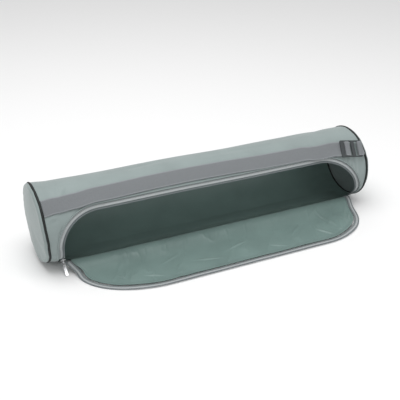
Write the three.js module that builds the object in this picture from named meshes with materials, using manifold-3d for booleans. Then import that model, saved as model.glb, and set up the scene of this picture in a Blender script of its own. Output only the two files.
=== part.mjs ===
// Yoga mat bag, lying on its side, unzipped, with its flap folded out onto the floor.
// Millimetres. +X runs along the tube to the buckle end, -Y is the side that opens, +Z is up.
// The origin is on the floor, under the middle of the tube.
import * as THREE from "three";
import { mergeVertices } from "three/addons/utils/BufferGeometryUtils.js";
import Module from "manifold-3d";

const wasm = await Module();
wasm.setup();

// Tube
const tubeRadius = 76;
const halfLength = 338; // from the middle to each seam ring
const cloth = 1.8;
const floorSag = 1; // how far the round underside is pressed flat by the floor
const gap = 0.3; // between pieces that touch

// Seam rings and end panels
const pipingRadius = 2;
const pipingProud = 1.6; // how far the piping stands out of the tube
const capRims = { left: 5, right: 3 }; // depth of each panel's rounded rim
const capBulge = 6; // how far the panel's middle stands out of its rim

// Zipped opening, cut in the front of the tube
const openingFromLeft = 17; // from the left seam ring to the opening
const openingFromRight = 7;
const hingeAngle = -58; // degrees above the level of the tube's axis, seen from the front
const openingTopAngle = 41.5;
const openingCorners = { left: { along: 82, up: 78 }, right: { along: 106, up: 118 } };

// Zip
const tapeThickness = 1;
const tapeShown = 8; // width of each tape that shows beside the cloth
const tapeTucked = 4; // width hidden under the tube's edge
const tapeDrop = 0.8; // from the tube's cloth to the tape under it
const coilWidth = 2.4;
const coilHeight = 2;
const sliderLength = 11;
const sliderWidth = 9;
const sliderPlate = 1.2;
const sliderMouth = 3; // between the slider's two plates
const sliderStart = 1.5; // from the hinge line
const crownWidth = 2;
const crownBore = 2.4;
const crownWire = 1.2;
const pivotHeight = 2; // above the slider's outer plate
const tabLength = 30;
const tabWidth = 5;
const tabThickness = 1.2;
const tabEnd = 1; // past the pivot
const tabClearance = 3.8; // beside the slider, for the tab to swing in

// Flap
const flapReach = 136; // from the hinge to the front edge, straight along the floor
const flapCorners = { left: { along: 156, up: 100 }, right: { along: 130, up: 107 } };
const flapDraw = 0.03; // share of its width by which the flap draws in past the lip
const flapShift = 3; // to the right, past the lip

// Strap and buckle
const strapWidth = 31;
const strapThickness = 1.4;
const strapFollow = 0.55; // share of the tube's roundness that the strap takes up
const slotClearance = 0.5; // at each side of the webbing in the buckle's slots
const buckleThickness = 3;
const buckleBar = 7.8; // width of one bar
const buckleSlots = [3.5, 5.5, 8.5]; // widths of the slots between its bars, from the left
const buckleRim = 2.1;
const buckleFromEnd = 8.5; // from the buckle to the right seam ring
const buckleAngle = 44.5;
const buckleTurn = 11; // degrees in the plane of the strap, its lower edge towards the middle of the bag

const sidesRound = 48; // of the round pieces
const axisHeight = tubeRadius - floorSag;
const openingLeft = -halfLength + openingFromLeft;
const openingRight = halfLength - openingFromRight;
const buckleLength = buckleSlots.reduce((sum, slot) => sum + slot + buckleBar, buckleBar);
const buckleRight = halfLength - buckleFromEnd;
const buckleCentre = buckleRight - buckleLength / 2;
const buckleLeft = buckleCentre - buckleLength / 2;
const slotWidth = strapWidth + 2 * slotClearance;
const buckleWidth = slotWidth + 2 * buckleRim;
const degrees = Math.PI / 180;

// Cross-sections of the tube. at: share of halfLength. girth and lift: shares of tubeRadius.
const SECTIONS = [
  { at: -1.0, girth: 0.98, lift: 0.078 },
  { at: -0.9, girth: 0.998, lift: 0.022 },
  { at: -0.7, girth: 1.0, lift: 0.0 },
  { at: -0.25, girth: 1.008, lift: 0.008 },
  { at: 0.2, girth: 0.996, lift: -0.004 },
  { at: 0.7, girth: 1.0, lift: 0.0 },
  { at: 0.92, girth: 1.0, lift: 0.006 },
  { at: 1.0, girth: 0.98, lift: 0.03 },
];

// How far the end seams wander outwards along X, in shares of tubeRadius. at: share of a turn, 0 to the front
// and 0.25 on top.
const SEAMS = [
  { at: -0.25, left: 0.017, right: 0.033 },
  { at: -0.16, left: -0.024, right: 0.028 },
  { at: -0.1, left: -0.04, right: 0.02 },
  { at: -0.03, left: -0.009, right: 0.0 },
  { at: 0.055, left: 0.02, right: -0.01 },
  { at: 0.125, left: 0.022, right: -0.03 },
  { at: 0.25, left: 0.046, right: -0.046 },
  { at: 0.5, left: 0.033, right: -0.01 },
  { at: 0.75, left: 0.017, right: 0.033 },
];

// Dents in the cloth. at and along: shares of halfLength. angle and around: degrees.
// depth: share of tubeRadius.
const DENTS = [
  { at: -0.93, along: 0.022, angle: 78, around: 16, depth: 0.018 },
  { at: -0.86, along: 0.035, angle: 66, around: 9, depth: 0.02 },
  { at: -0.95, along: 0.04, angle: -4, around: 24, depth: 0.014 },
  { at: 0.95, along: 0.05, angle: 14, around: 26, depth: 0.03 },
  { at: 0.8, along: 0.05, angle: 118, around: 14, depth: 0.018 },
  { at: 0.1, along: 0.16, angle: 128, around: 12, depth: 0.014 },
  { at: -0.5, along: 0.12, angle: 170, around: 20, depth: 0.018 },
  { at: 0.45, along: 0.1, angle: 186, around: 16, depth: 0.018 },
];

// Middle of the strap along the tube. at: share of halfLength. angle: degrees.
const STRAP_LINE = [
  { at: -1.0, angle: 45 },
  { at: -0.92, angle: 49 },
  { at: -0.83, angle: 50.5 },
  { at: -0.7, angle: 54.5 },
  { at: -0.4, angle: 56.5 },
  { at: 0.05, angle: 56.3 },
  { at: 0.56, angle: 53.2 },
  { at: 0.75, angle: buckleAngle },
  { at: 1.0, angle: buckleAngle },
];

// Side view of the flap. out: share of flapReach. up: share of the hinge's height above the floor.
const FLAP_FALL = [
  { out: 0.03, up: 1.23 },
  { out: 0.07, up: 1.38 },
  { out: 0.13, up: 1.22 },
  { out: 0.23, up: 0.62 },
  { out: 0.34, up: 0.16 },
  { out: 0.46, up: 0.0 },
  { out: 0.62, up: 0.0 },
  { out: 0.78, up: 0.0 },
  { out: 0.9, up: 0.05 },
  { out: 1.0, up: 0.15 },
];

// Ripples in the flap. at and along: shares of halfLength. out and deep: shares of the flap's depth.
// height: share of cloth.
const RIPPLES = [
  { at: -0.62, along: 0.07, out: 0.62, deep: 0.22, height: 1.6 },
  { at: -0.3, along: 0.09, out: 0.72, deep: 0.2, height: 1.2 },
  { at: 0.08, along: 0.08, out: 0.6, deep: 0.25, height: 2.0 },
  { at: 0.42, along: 0.1, out: 0.7, deep: 0.2, height: 1.3 },
  { at: 0.74, along: 0.06, out: 0.6, deep: 0.3, height: 2.2 },
];

// A smooth reading of column `name` of a table at `value` of its `at` column.
function readTable(table, value, name) {
  const last = table.length - 1;
  if (value <= table[0].at) return table[0][name];
  if (value >= table[last].at) return table[last][name];
  const i = table.findIndex((row) => row.at > value) - 1;
  const share = (value - table[i].at) / (table[i + 1].at - table[i].at);
  return THREE.MathUtils.lerp(table[i][name], table[i + 1][name], share * share * (3 - 2 * share));
}

const bump = (distance, width) => Math.exp(-((distance / width) ** 2));

function dentDepth(x, angle) {
  let depth = 0;
  for (const d of DENTS) {
    const turn = ((angle - d.angle + 540) % 360) - 180;
    depth += d.depth * tubeRadius * bump(x / halfLength - d.at, d.along) * bump(turn, d.around);
  }
  return depth;
}

// How far a point near an end moves along X with its seam.
function seamShift(x, angle) {
  const turn = ((((angle + 90) % 360) + 360) % 360) / 360 - 0.25;
  const share = THREE.MathUtils.smoothstep(Math.abs(x) / halfLength, 0.8, 1);
  return Math.sign(x) * share * tubeRadius * readTable(SEAMS, turn, x < 0 ? "left" : "right");
}

const radiusAt = (x) => tubeRadius * readTable(SECTIONS, x / halfLength, "girth");
const axisAt = (x) => axisHeight + tubeRadius * readTable(SECTIONS, x / halfLength, "lift");

// A point of the tube's wall: `angle` in degrees, 0 to the front and 90 on top;
// `off` outwards from the outer face.
function tubePoint(x, angle, off) {
  const r = radiusAt(x) + off - dentDepth(x, angle);
  const z = axisAt(x) + r * Math.sin(angle * degrees);
  return new THREE.Vector3(x + seamShift(x, angle), -r * Math.cos(angle * degrees), Math.max(z, -off));
}

// The same point by its way up the front, in mm along the cloth from the hinge line.
const frontPoint = (x, up, off) => tubePoint(x, hingeAngle + up / tubeRadius / degrees, off);

// Closed solids out of grids

const range = (count, low = 0, high = 1) =>
  Array.from({ length: count + 1 }, (_, i) => low + ((high - low) * i) / count);

function geometryOf(points, faces) {
  const made = new THREE.BufferGeometry();
  made.setAttribute("position", new THREE.Float32BufferAttribute(points.flatMap((p) => p.toArray()), 3));
  made.setIndex(faces.flat());
  return made;
}

// Six times the enclosed volume, below zero if the faces point inwards.
function signedVolume(geometry) {
  const position = geometry.getAttribute("position");
  const corner = [0, 1, 2].map(() => new THREE.Vector3());
  let sum = 0;
  for (let i = 0; i < geometry.index.count; i += 3) {
    corner.forEach((c, k) => c.fromBufferAttribute(position, geometry.index.getX(i + k)));
    sum += corner[0].dot(corner[1].cross(corner[2]));
  }
  return sum;
}

// Turns a geometry's faces outwards and drops all but its positions.
function facingOut(geometry) {
  for (const name of Object.keys(geometry.attributes)) {
    if (name !== "position") geometry.deleteAttribute(name);
  }
  const merged = mergeVertices(geometry, 1e-4);
  if (signedVolume(merged) < 0) merged.index.array.reverse();
  return merged;
}

// A sheet with two faces: point(row, column, side) for each of rows and columns, side 0 and 1.
// `round` joins the last column to the first.
function sheet(rows, columns, point, round = false) {
  const points = [];
  for (const side of [0, 1]) {
    for (const r of rows) for (const c of columns) points.push(point(r, c, side));
  }
  const across = columns.length;
  const index = (side, r, c) => (side * rows.length + r) * across + (c % across);
  const faces = [];
  const quad = (a, b, c, d) => faces.push([a, b, c], [a, c, d]);
  const cells = round ? across : across - 1;
  for (let r = 0; r + 1 < rows.length; r++) {
    for (let c = 0; c < cells; c++) {
      quad(index(1, r, c), index(1, r, c + 1), index(1, r + 1, c + 1), index(1, r + 1, c));
      quad(index(0, r, c), index(0, r + 1, c), index(0, r + 1, c + 1), index(0, r, c + 1));
    }
  }
  const end = rows.length - 1;
  for (let c = 0; c < cells; c++) {
    quad(index(1, 0, c + 1), index(1, 0, c), index(0, 0, c), index(0, 0, c + 1));
    quad(index(1, end, c), index(1, end, c + 1), index(0, end, c + 1), index(0, end, c));
  }
  if (!round) {
    for (let r = 0; r < end; r++) {
      quad(index(1, r, 0), index(1, r + 1, 0), index(0, r + 1, 0), index(0, r, 0));
      const last = across - 1;
      quad(index(1, r + 1, last), index(1, r, last), index(0, r, last), index(0, r + 1, last));
    }
  }
  return facingOut(geometryOf(points, faces));
}

function manifoldOf(geometry) {
  const g = facingOut(geometry.index ? geometry : mergeVertices(geometry));
  const made = { vertProperties: g.getAttribute("position").array, triVerts: new Uint32Array(g.index.array) };
  return new wasm.Manifold(new wasm.Mesh({ numProp: 3, ...made }));
}

function geometryFrom(manifold) {
  const mesh = manifold.getMesh();
  const made = new THREE.BufferGeometry();
  made.setAttribute("position", new THREE.BufferAttribute(new Float32Array(mesh.vertProperties), 3));
  return made.setIndex(new THREE.BufferAttribute(new Uint32Array(mesh.triVerts), 1));
}

// Outline of the opening and of the flap

// A D-shaped outline in the plane of the cloth, from its left end on the hinge line, over the top,
// to its right end.
function outlineD(left, right, height, corners, steps) {
  const path = new THREE.Path();
  const { left: l, right: r } = corners;
  path.moveTo(left, 0);
  path.lineTo(left, height - l.up);
  path.absellipse(left + l.along, height - l.up, l.along, l.up, Math.PI, Math.PI / 2, true);
  path.lineTo(right - r.along, height);
  path.absellipse(right - r.along, height - r.up, r.along, r.up, Math.PI / 2, 0, true);
  path.lineTo(right, 0);
  return path.getSpacedPoints(steps);
}

// The outline moved `by` mm towards its inside.
function inset(outline, by) {
  return outline.map((p, i) => {
    const before = outline[Math.max(i - 1, 0)];
    const after = outline[Math.min(i + 1, outline.length - 1)];
    const along = after.clone().sub(before).normalize();
    return new THREE.Vector2(p.x + along.y * by, Math.max(p.y - along.x * by, 0));
  });
}

// A strip along an outline, between two insets, on the surface place(x, up, off).
// Its left end is at up = `first`.
function strip(outline, from, to, place, low, high, first) {
  const edges = [inset(outline, from), inset(outline, to)];
  const half = outline.length / 2;
  const rows = outline.map((_, i) => i).filter((i) => i > half || outline[i + 1].y > first);
  return sheet(rows, [0, 1], (i, edge, side) => {
    const { x, y } = edges[edge][i];
    return place(x, i > half ? y : Math.max(y, first), side ? high : low);
  });
}

// A patch of cloth from the hinge line to an outline.
function patch(outline, columns, place, low, high, from = 0) {
  const last = outline.length - 1;
  const rows = outline.map((_, i) => i);
  return sheet(rows, columns, (i, share, side) => {
    const foot = THREE.MathUtils.lerp(outline[0].x, outline[last].x, i / last);
    const up = THREE.MathUtils.lerp(from, Math.max(outline[i].y, from), share);
    return place(THREE.MathUtils.lerp(foot, outline[i].x, share), up, side ? high : low);
  });
}

const openingHeight = (openingTopAngle - hingeAngle) * degrees * tubeRadius;
const opening = outlineD(openingLeft, openingRight, openingHeight, openingCorners, 48);

// Tube

function makeTube() {
  const end = halfLength - pipingRadius - gap;
  const rows = [...range(3, -end, -0.85 * halfLength), ...range(11, -0.74 * halfLength, 0.74 * halfLength)];
  rows.push(...range(3, 0.85 * halfLength, end));
  const step = 360 / sidesRound;
  const columns = Array.from({ length: sidesRound }, (_, i) => -90 + step * (i + 0.5));
  const wall = sheet(rows, columns, (x, angle, side) => tubePoint(x, angle, side ? 0 : -cloth), true);
  const cutter = patch(opening, range(16), frontPoint, -3 * cloth, 3 * cloth);
  return geometryFrom(manifoldOf(wall).subtract(manifoldOf(cutter)));
}

// End panels and piping

// Moves a round piece, made about the X axis, to the end ring at x = sign * halfLength.
function toRing(geometry, sign) {
  const x = sign * halfLength;
  const scale = radiusAt(x) / tubeRadius;
  const position = geometry.getAttribute("position");
  for (let i = 0; i < position.count; i++) {
    const [y, z] = [position.getY(i), position.getZ(i)];
    const fromMiddle = Math.min(Math.hypot(y, z) / tubeRadius, 1);
    const wander = fromMiddle * seamShift(x, Math.atan2(z, -y) / degrees);
    position.setX(i, position.getX(i) + sign * wander);
  }
  return facingOut(geometry.scale(sign, scale, scale).translate(x, 0, axisAt(x)));
}

function makePiping(sign) {
  const ring = new THREE.TorusGeometry(tubeRadius + pipingProud - pipingRadius, pipingRadius, 5, sidesRound);
  return toRing(ring.rotateY(Math.PI / 2), sign);
}

// Distance of the panel's outer face from the seam ring, at a distance from its middle.
function capOut(r, capRim) {
  const rimStart = tubeRadius - capRim;
  const dome = capBulge * Math.cos((Math.min(r / rimStart, 1) * Math.PI) / 2);
  const corner = r > rimStart ? capRim - Math.sqrt(Math.max(capRim ** 2 - (r - rimStart) ** 2, 0)) : 0;
  return pipingRadius + gap + capRim + dome - corner;
}

function makeCap(sign, capRim) {
  const rimStart = tubeRadius - capRim;
  const radii = [...range(3, 0, rimStart), ...range(3, rimStart, tubeRadius).slice(1)];
  const outside = radii.map((r) => new THREE.Vector2(r, capOut(r, capRim)));
  const inside = [...range(2, 0, rimStart), tubeRadius - cloth].map(
    (r) => new THREE.Vector2(r, Math.max(capOut(r, capRim) - cloth, pipingRadius + gap)),
  );
  const dish = new THREE.LatheGeometry([...outside, ...inside.reverse()], sidesRound);
  return toRing(dish.rotateZ(-Math.PI / 2), sign);
}

// Flap, laid forward on the floor

const hingeDrop = axisHeight + tubeRadius * Math.sin(hingeAngle * degrees);
const hingeOut = tubeRadius * Math.cos(hingeAngle * degrees);
const flapFall = new THREE.CatmullRomCurve3(
  [
    new THREE.Vector3(0, -hingeOut, hingeDrop),
    ...FLAP_FALL.map((p) => new THREE.Vector3(0, -hingeOut - p.out * flapReach, p.up * hingeDrop)),
  ],
  false,
  "centripetal",
);
flapFall.arcLengthDivisions = 800;
const flapDepth = flapFall.getLength();

function rippleHeight(x, out) {
  let height = 0;
  for (const r of RIPPLES) {
    height += r.height * cloth * bump(x / halfLength - r.at, r.along) * bump(out / flapDepth - r.out, r.deep);
  }
  return height;
}

// A point of the flap: `out` in mm along its cloth from the hinge line; `off` upwards from its underside.
function flapPoint(x, out, off) {
  const share = Math.min(Math.max(out / flapDepth, 0), 1);
  const foot = flapFall.getPointAt(share);
  foot.z = Math.max(foot.z, 0);
  const along = flapFall.getTangentAt(share);
  const normal = new THREE.Vector3(0, along.z, -along.y);
  const leaving = THREE.MathUtils.smoothstep(share, 0.08, 0.32);
  const seat = tubePoint(x, hingeAngle, 0);
  foot.y += (seat.y + hingeOut) * (1 - leaving);
  foot.z += (seat.z - hingeDrop) * (1 - leaving);
  const point = foot.addScaledVector(normal, off);
  point.x = x + (flapShift - flapDraw * x) * leaving;
  point.z += rippleHeight(x, out) * leaving;
  return point;
}

const zipInset = tapeShown + gap + coilWidth;
const flapSide = zipInset + tabClearance; // from the opening's side to the flap's
const flapEdge = outlineD(openingLeft + flapSide, openingRight - flapSide, flapDepth, flapCorners, 44);

function makeFlap() {
  const cut = inset(flapEdge, zipInset + gap);
  return patch(cut, [0, 0.06, 0.12, 0.2, 0.3, 0.42, 0.58, 0.76, 0.88, 1], flapPoint, 0, cloth, gap);
}

// Zip

const belowCloth = -cloth - tapeDrop;
const zipStart = sliderStart + sliderLength + 2 * gap;

const makeBodyTape = () =>
  strip(opening, -tapeTucked, tapeShown, frontPoint, belowCloth - tapeThickness, belowCloth, zipStart);

function makeBodyCoil() {
  const middle = belowCloth - tapeThickness / 2;
  const low = middle - coilHeight / 2;
  return strip(opening, tapeShown + gap, zipInset, frontPoint, low, low + coilHeight, zipStart);
}

// The flap's half of the zip stops just short of the hinge line.
const flapZipPoint = (x, out, off) => flapPoint(x, Math.max(out, sliderStart), off);

const makeFlapTape = () =>
  strip(flapEdge, coilWidth + gap, coilWidth + tapeShown, flapZipPoint, 0, tapeThickness, zipStart);

const makeFlapCoil = () => strip(flapEdge, 0, coilWidth, flapZipPoint, 0, coilHeight, zipStart);

const sliderX = openingLeft + tapeShown + gap + coilWidth / 2;
const sliderAngle = hingeAngle + (sliderStart + sliderLength / 2) / tubeRadius / degrees;

// A frame on the slider's outer plate: X as the part's, Y up along the zip, Z away from the cloth.
const sliderFrame = new THREE.Object3D();
sliderFrame.position.copy(tubePoint(sliderX, sliderAngle, 0));
sliderFrame.rotation.x = (90 - sliderAngle) * degrees;
sliderFrame.updateMatrix();

const plate = (width, length, thickness, x, y, z) =>
  manifoldOf(new THREE.BoxGeometry(width, length, thickness).translate(x, y, z));

function makeSlider() {
  const middle = belowCloth - tapeThickness / 2;
  const outer = middle + sliderMouth / 2 + sliderPlate / 2;
  const inner = middle - sliderMouth / 2 - sliderPlate / 2;
  const core = sliderMouth + sliderPlate;
  let body = plate(sliderWidth, sliderLength, sliderPlate, 0, 0, outer);
  body = body.add(plate(sliderWidth, sliderLength, sliderPlate, 0, 0, inner));
  body = body.add(plate(crownWidth, sliderLength / 2, core, 0, sliderLength / 4, middle));
  const crown = new THREE.Shape();
  const outerBore = crownBore + crownWire;
  crown.moveTo(outerBore, -pivotHeight - sliderPlate / 2);
  crown.absarc(0, 0, outerBore, 0, Math.PI, false);
  crown.lineTo(-outerBore, -pivotHeight - sliderPlate / 2);
  crown.lineTo(-crownBore, -pivotHeight - sliderPlate / 2);
  crown.absarc(0, 0, crownBore, Math.PI, 0, true);
  crown.lineTo(crownBore, -pivotHeight - sliderPlate / 2);
  const arch = new THREE.ExtrudeGeometry(crown, { depth: crownWidth, bevelEnabled: false, curveSegments: 8 });
  arch.translate(0, 0, -crownWidth / 2).rotateX(Math.PI / 2).rotateZ(Math.PI / 2);
  arch.translate(0, 0, outer + sliderPlate / 2 + pivotHeight);
  return facingOut(geometryFrom(body.add(manifoldOf(arch))).applyMatrix4(sliderFrame.matrix));
}

const pivotOff = belowCloth - tapeThickness / 2 + sliderMouth / 2 + sliderPlate + pivotHeight;
const pivot = tubePoint(sliderX, sliderAngle, pivotOff);

// The pull tab lies with its tip on the floor, in front of the slider.
function makePullTab() {
  const half = tabWidth / 2;
  const shape = new THREE.Shape();
  shape.moveTo(-half, -tabEnd);
  shape.lineTo(half, -tabEnd);
  shape.lineTo(half, tabLength - half);
  shape.absarc(0, tabLength - half, half, 0, Math.PI, false);
  shape.lineTo(-half, -tabEnd);
  const eye = new THREE.Path();
  const eyeHalf = crownWidth / 2 + 2 * gap;
  const eyeEnd = crownBore + crownWire + 3 * gap;
  eye.moveTo(-eyeHalf, tabEnd);
  eye.lineTo(-eyeHalf, eyeEnd);
  eye.lineTo(eyeHalf, eyeEnd);
  eye.lineTo(eyeHalf, tabEnd);
  eye.lineTo(-eyeHalf, tabEnd);
  shape.holes.push(eye);
  const solid = { depth: tabThickness, bevelEnabled: false, curveSegments: 8 };
  const tab = new THREE.ExtrudeGeometry(shape, solid);
  tab.translate(0, 0, -tabThickness / 2).rotateX(Math.PI);
  const fall = Math.asin((pivot.z - tabThickness / 2) / tabLength);
  return facingOut(tab.rotateX(fall).translate(pivot.x, pivot.y, pivot.z));
}

// Strap, short end strap and buckle

const layer = strapThickness + gap; // from one layer of webbing to the next
const endSeam = halfLength - pipingRadius - 3 * gap; // where the end strap is sewn in

// How much a place along the strap belongs to the buckle: 1 under it, 0 away from it.
function nearBuckle(x) {
  const before = THREE.MathUtils.smoothstep(buckleCentre - x, buckleLength / 2 + gap, 2 * buckleLength);
  const after = THREE.MathUtils.smoothstep(x, buckleRight + layer, endSeam);
  return 1 - Math.max(before, after);
}

// A point of the strap's space: `across` it, up the tube being positive, and `high` above the tube's cloth.
// Near the buckle this space turns with the buckle.
function strapPoint(x, across, high) {
  const near = nearBuckle(x);
  const turn = buckleTurn * degrees * near;
  const ahead = x - buckleCentre;
  const along = buckleCentre + ahead * Math.cos(turn) + across * Math.sin(turn);
  const aside = across * Math.cos(turn) - ahead * Math.sin(turn);
  const inside = Math.min(Math.max(x, -halfLength), halfLength);
  const angle = readTable(STRAP_LINE, inside / halfLength, "angle") * degrees;
  const away = THREE.MathUtils.smoothstep((buckleCentre - x) / buckleLength, 1, 3);
  const r = radiusAt(inside) + high - (strapFollow * away * across ** 2) / (2 * tubeRadius);
  const y = -r * Math.cos(angle) + aside * Math.sin(angle);
  const z = axisAt(inside) + r * Math.sin(angle) + aside * Math.cos(angle);
  const shifts = [seamShift(inside, angle / degrees), seamShift(buckleCentre, angle / degrees)];
  return new THREE.Vector3(along + THREE.MathUtils.lerp(...shifts, near), y, z);
}

// A line through the points with its corners rounded; it never leaves the corner's own triangle.
function roundedLine(points, corner) {
  const path = new THREE.CurvePath();
  let from = points[0];
  for (let i = 1; i + 1 < points.length; i++) {
    const [before, point, after] = points.slice(i - 1, i + 2);
    const lengths = [before.distanceTo(point), after.distanceTo(point)];
    const cut = Math.min(corner, lengths[0] * 0.49, lengths[1] * 0.49);
    const enter = point.clone().lerp(before, cut / lengths[0]);
    const leave = point.clone().lerp(after, cut / lengths[1]);
    path.add(new THREE.LineCurve3(from, enter));
    path.add(new THREE.QuadraticBezierCurve3(enter, point, leave));
    from = leave;
  }
  path.add(new THREE.LineCurve3(from, points.at(-1)));
  return path;
}

// Shares of a path's length at which its corners and its long straights are divided.
function stops(path) {
  const total = path.getLength();
  const found = [0];
  for (const curve of path.curves) {
    const length = curve.getLength();
    const count = curve.isLineCurve3 ? Math.ceil(length / webbingStep) : cornerSteps;
    const start = found.at(-1);
    found.push(...range(count, start, start + length / total).slice(1));
  }
  return found.map((share) => share / found.at(-1));
}

// Webbing along a side view: a list of [x, high] of the corners of its middle line.
function webbing(line, width, columns) {
  const path = roundedLine(line.map(([x, high]) => new THREE.Vector3(x, high, 0)), webbingCorner);
  const across = range(columns, -width / 2, width / 2);
  return sheet(stops(path), across, (share, v, side) => {
    const middle = path.getPoint(share);
    const along = path.getTangent(share);
    const out = (side ? 1 : -1) * (strapThickness / 2);
    return strapPoint(middle.x - along.y * out, v, middle.y + along.x * out);
  });
}

const webbingCorner = 2; // how far from a corner the webbing starts to turn
const cornerSteps = 3;
const webbingStep = 34; // longest straight facet
const strapRest = gap + strapThickness / 2; // height of the strap's middle where it lies on the cloth
const buckleLift = 2 * layer + gap; // from the cloth to the buckle's underside
const barMiddle = buckleLift + buckleThickness / 2;
const barClear = buckleThickness / 2 + gap + strapThickness / 2; // from a bar's middle to webbing over it
const barSide = buckleBar / 2 + gap + strapThickness / 2; // and to webbing beside it

// Middles of the buckle's bars, from the left.
const bars = buckleSlots.reduce(
  (found, slot) => [...found, found.at(-1) + buckleBar + slot],
  [buckleLeft + buckleBar / 2],
);

// From the seam of the left panel, under the buckle's first bar, round its second bar and back under itself.
function makeStrap() {
  const bar = bars[1];
  const line = [
    [-halfLength + pipingRadius + gap, strapRest],
    [buckleLeft - 1.5 * strapWidth, strapRest],
    [buckleLeft - strapWidth, strapRest + layer],
    [bar - barSide, strapRest + layer],
    [bar - barSide, barMiddle + barClear],
    [bar + barSide, barMiddle + barClear],
    [bar + barSide, strapRest],
    [buckleLeft - 0.8 * strapWidth, strapRest],
  ];
  return webbing(line, strapWidth, 4);
}

// From the seam of the right panel round the buckle's last bar and back.
function makeEndStrap() {
  const bar = bars.at(-1);
  const line = [
    [endSeam, strapRest],
    [bar + barSide, barMiddle - barClear],
    [bar - barSide, barMiddle - barClear],
    [bar - barSide, barMiddle + barClear],
    [bar + barSide, barMiddle + barClear],
    [endSeam, strapRest + 1.2 * layer],
  ];
  return webbing(line, strapWidth, 2);
}

function makeBuckle() {
  const shape = roundedRect(buckleLength, buckleWidth, buckleRim);
  buckleSlots.forEach((slot, i) => {
    const middle = (bars[i] + bars[i + 1]) / 2;
    shape.holes.push(roundedRect(slot, slotWidth, 1, middle - buckleCentre));
  });
  const bevel = 0.5;
  const frame = new THREE.ExtrudeGeometry(shape, {
    depth: buckleThickness - 2 * bevel,
    bevelThickness: bevel,
    bevelSize: bevel,
    bevelOffset: -bevel,
    bevelSegments: 1,
    curveSegments: 3,
  });
  frame.translate(buckleCentre, 0, bevel + buckleLift);
  const position = frame.getAttribute("position");
  for (let i = 0; i < position.count; i++) {
    const placed = strapPoint(position.getX(i), position.getY(i), position.getZ(i));
    position.setXYZ(i, placed.x, placed.y, placed.z);
  }
  return facingOut(frame);
}

// A rectangle with round corners, its middle at (x, 0).
function roundedRect(length, width, corner, x = 0) {
  const shape = new THREE.Shape();
  const [a, b] = [length / 2 - corner, width / 2 - corner];
  shape.absarc(x + a, b, corner, 0, Math.PI / 2, false);
  shape.absarc(x - a, b, corner, Math.PI / 2, Math.PI, false);
  shape.absarc(x - a, -b, corner, Math.PI, 1.5 * Math.PI, false);
  shape.absarc(x + a, -b, corner, 1.5 * Math.PI, 2 * Math.PI, false);
  return shape;
}

// Materials and the scene graph

const material = (color, roughness, metalness = 0) =>
  new THREE.MeshStandardMaterial({ color, roughness, metalness });
const nylon = material(0x93a3a1, 0.62);
const lining = material(0x7e9690, 0.5);
const webbingCloth = material(0x868d92, 0.8);
const darkPiping = material(0x1d2423, 0.6);
const tapeCloth = material(0xaab2b4, 0.75);
const coilPlastic = material(0x9aa3a6, 0.45);
const zinc = material(0xc9cbcc, 0.25, 1);
const plastic = material(0x33383a, 0.4);

const bag = new THREE.Group();
function add(name, geometry, finish) {
  const mesh = new THREE.Mesh(geometry, finish);
  mesh.name = name;
  bag.add(mesh);
}

add("tube_panel", makeTube(), nylon);
add("end_panel_left", makeCap(-1, capRims.left), nylon);
add("end_panel_right", makeCap(1, capRims.right), nylon);
add("piping_left", makePiping(-1), darkPiping);
add("piping_right", makePiping(1), darkPiping);
add("flap", makeFlap(), lining);
add("zip_tape_tube", makeBodyTape(), tapeCloth);
add("zip_coil_tube", makeBodyCoil(), coilPlastic);
add("zip_tape_flap", makeFlapTape(), tapeCloth);
add("zip_coil_flap", makeFlapCoil(), coilPlastic);
add("zip_slider", makeSlider(), zinc);
add("pull_tab", makePullTab(), zinc);
add("strap", makeStrap(), webbingCloth);
add("end_strap", makeEndStrap(), webbingCloth);
add("buckle", makeBuckle(), plastic);

export default bag;
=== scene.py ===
"""Dresses the frame of the yoga mat bag: cloth, zip teeth, stitching, webbing, materials, light and camera.

Lengths are millimetres until a mesh is made. Surfaces follow the same sizes as the solids of the frame.
"""

import math

import bmesh
import bpy
import numpy as np
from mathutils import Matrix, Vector, noise


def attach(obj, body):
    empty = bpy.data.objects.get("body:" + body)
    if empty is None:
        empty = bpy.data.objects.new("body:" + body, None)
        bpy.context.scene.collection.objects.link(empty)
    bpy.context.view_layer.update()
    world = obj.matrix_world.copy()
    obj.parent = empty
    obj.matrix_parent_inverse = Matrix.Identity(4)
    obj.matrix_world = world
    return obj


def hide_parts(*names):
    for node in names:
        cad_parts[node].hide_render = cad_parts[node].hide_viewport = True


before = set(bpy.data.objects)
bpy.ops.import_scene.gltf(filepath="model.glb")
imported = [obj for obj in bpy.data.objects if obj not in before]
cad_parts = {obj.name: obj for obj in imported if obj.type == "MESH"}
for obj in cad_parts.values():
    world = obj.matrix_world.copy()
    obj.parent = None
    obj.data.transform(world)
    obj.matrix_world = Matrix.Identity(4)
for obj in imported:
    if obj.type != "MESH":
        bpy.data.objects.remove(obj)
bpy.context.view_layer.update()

MM = 0.001  # one millimetre, in metres

# Sizes of the frame, in mm and degrees
TUBE_RADIUS = 76.0
HALF_LENGTH = 338.0
CLOTH = 1.8
FLOOR_SAG = 1.0
GAP = 0.3
PIPING_RADIUS = 2.0
PIPING_PROUD = 1.6
CAP_RIMS = {-1: 5.0, 1: 3.0}
CAP_BULGE = 6.0
OPENING_LEFT = -321.0
OPENING_RIGHT = 331.0
HINGE_ANGLE = -58.0
OPENING_TOP_ANGLE = 41.5
OPENING_CORNERS = ((82.0, 78.0), (106.0, 118.0))  # (along, up) at the left and at the right
TAPE = 1.0
TAPE_DROP = 0.8
TAPE_SHOWN = 8.0
TAPE_TUCKED = 4.0
COIL_WIDTH = 2.4
COIL_HEIGHT = 2.0
SLIDER_LENGTH = 11.0
SLIDER_START = 1.5
TAB_CLEARANCE = 3.8
FLAP_REACH = 136.0
FLAP_CORNERS = ((156.0, 100.0), (130.0, 107.0))
FLAP_DRAW = 0.03
FLAP_SHIFT = 3.0
STRAP_WIDTH = 31.0
STRAP_THICKNESS = 1.4
STRAP_FOLLOW = 0.55
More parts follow.
